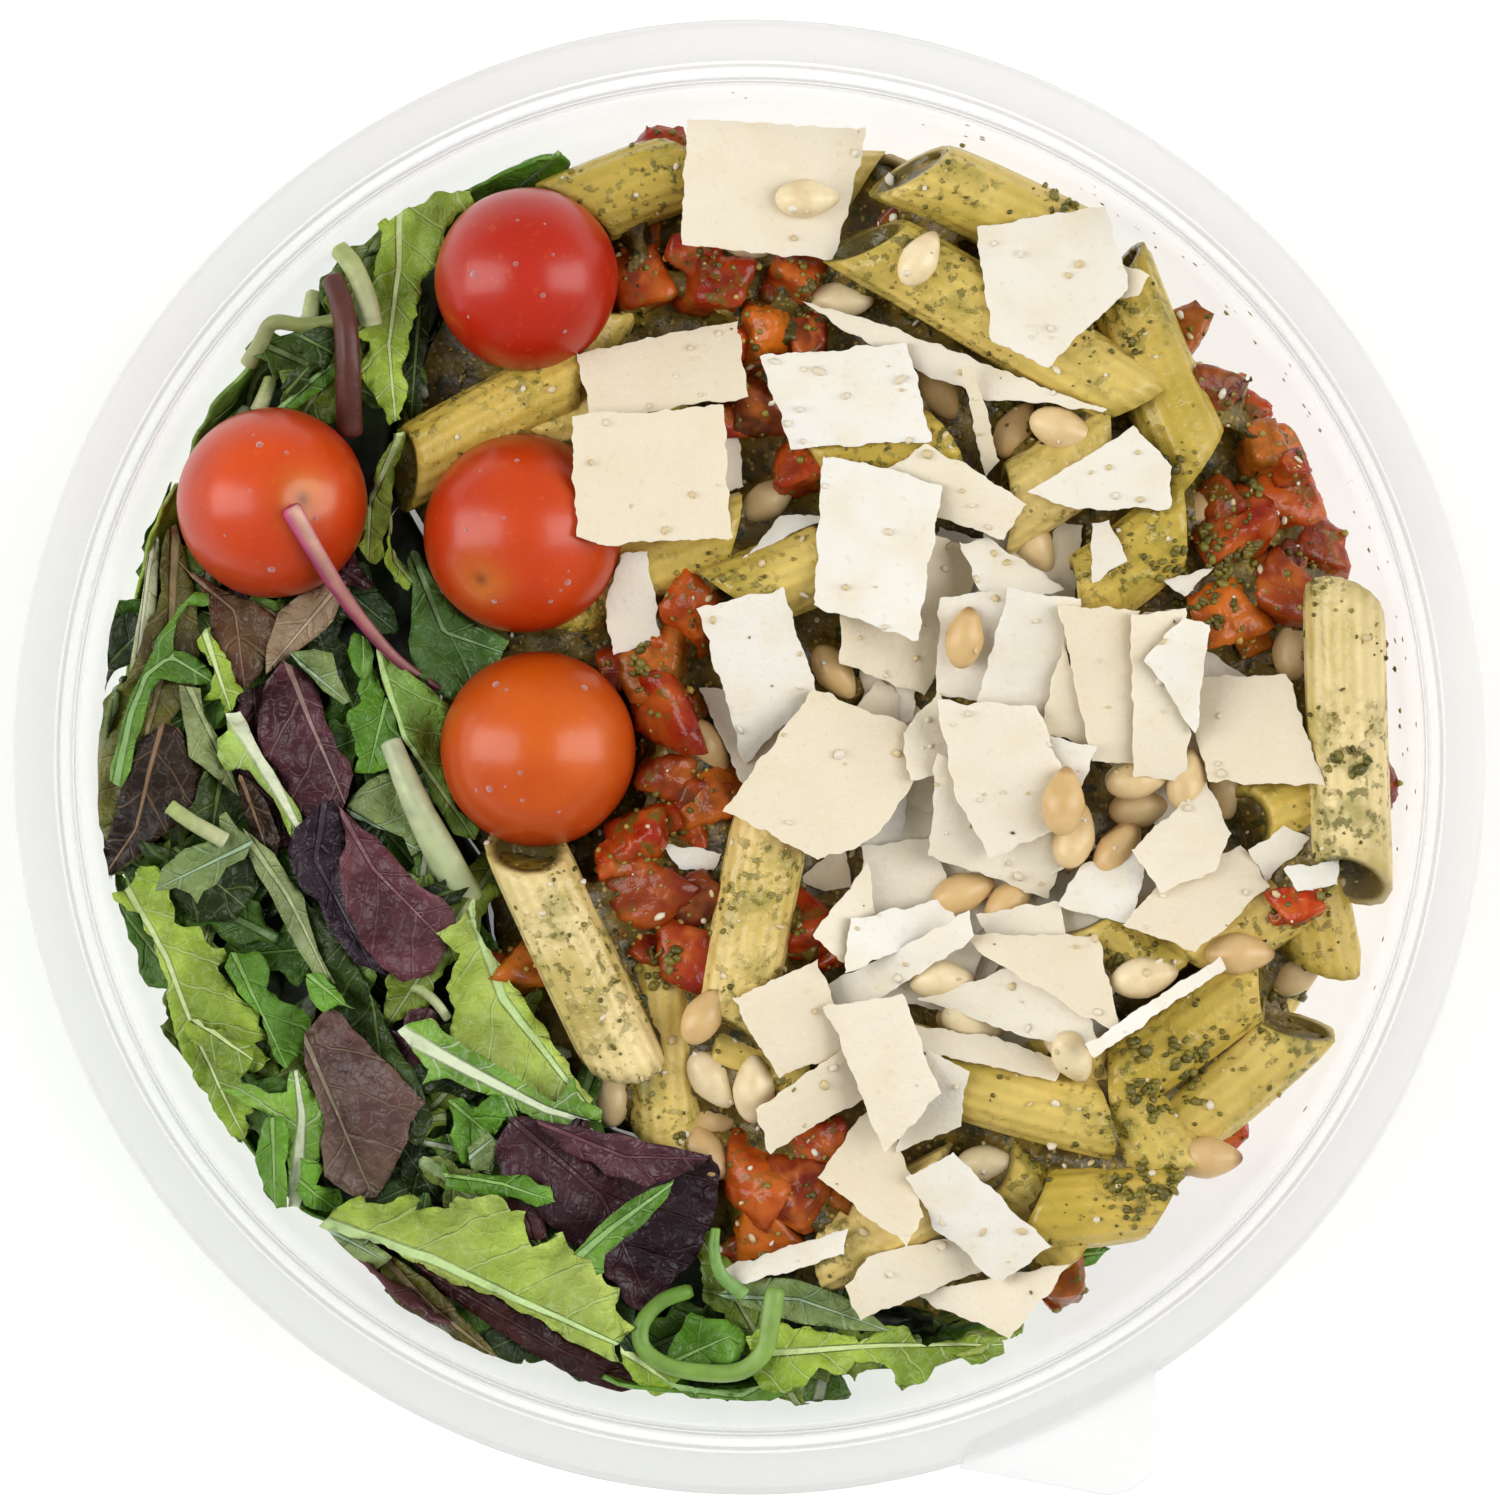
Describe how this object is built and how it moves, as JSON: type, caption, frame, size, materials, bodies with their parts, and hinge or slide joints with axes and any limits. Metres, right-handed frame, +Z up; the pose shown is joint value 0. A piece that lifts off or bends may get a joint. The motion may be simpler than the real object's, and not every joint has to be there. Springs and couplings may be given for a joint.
{
  "type": "pasta salad",
  "caption": "Penne in green pesto with salad leaves, cherry tomatoes, pine nuts and shaved hard cheese in a round clear bowl with a flat rim and a pull tab.",
  "frame": {"origin": "centre of the bowl's flat base, on the surface it stands on", "axes": "+Z up along the bowl's axis; +Y is the side that is uppermost in the picture, +X its right, so the tab is at +X -Y"},
  "size_m": [0.19, 0.19, 0.0544],
  "materials": {
    "clear plastic": "clear gloss",
    "penne in pesto": "oily",
    "salad leaves": "satin",
    "tomato skin": "gloss",
    "hard cheese": "matt"
  },
  "bodies": {
    "root": {"bowl": "clear plastic", "pasta": "penne in pesto", "leaves": "salad leaves", "tomato_1": "tomato skin", "tomato_2": "tomato skin", "tomato_3": "tomato skin", "tomato_4": "tomato skin", "cheese_01": "hard cheese", "cheese_02": "hard cheese", "cheese_03": "hard cheese", "cheese_04": "hard cheese", "cheese_05": "hard cheese", "cheese_06": "hard cheese", "cheese_07": "hard cheese", "cheese_08": "hard cheese", "cheese_09": "hard cheese", "cheese_10": "hard cheese", "cheese_11": "hard cheese", "cheese_12": "hard cheese", "cheese_13": "hard cheese", "cheese_14": "hard cheese", "cheese_15": "hard cheese", "cheese_16": "hard cheese", "cheese_17": "hard cheese", "cheese_18": "hard cheese", "cheese_19": "hard cheese", "cheese_20": "hard cheese", "cheese_21": "hard cheese", "cheese_22": "hard cheese", "cheese_23": "hard cheese", "cheese_24": "hard cheese", "cheese_25": "hard cheese", "cheese_26": "hard cheese", "cheese_27": "hard cheese", "cheese_28": "hard cheese", "cheese_29": "hard cheese", "cheese_30": "hard cheese", "cheese_31": "hard cheese", "cheese_32": "hard cheese", "cheese_33": "hard cheese", "cheese_34": "hard cheese", "cheese_35": "hard cheese", "cheese_36": "hard cheese", "cheese_37": "hard cheese", "cheese_38": "hard cheese", "cheese_39": "hard cheese", "cheese_40": "hard cheese", "cheese_41": "hard cheese", "cheese_42": "hard cheese", "cheese_43": "hard cheese", "cheese_44": "hard cheese", "cheese_45": "hard cheese", "cheese_46": "hard cheese", "cheese_47": "hard cheese", "cheese_48": "hard cheese", "cheese_49": "hard cheese", "cheese_50": "hard cheese"}
  },
  "joints": []
}
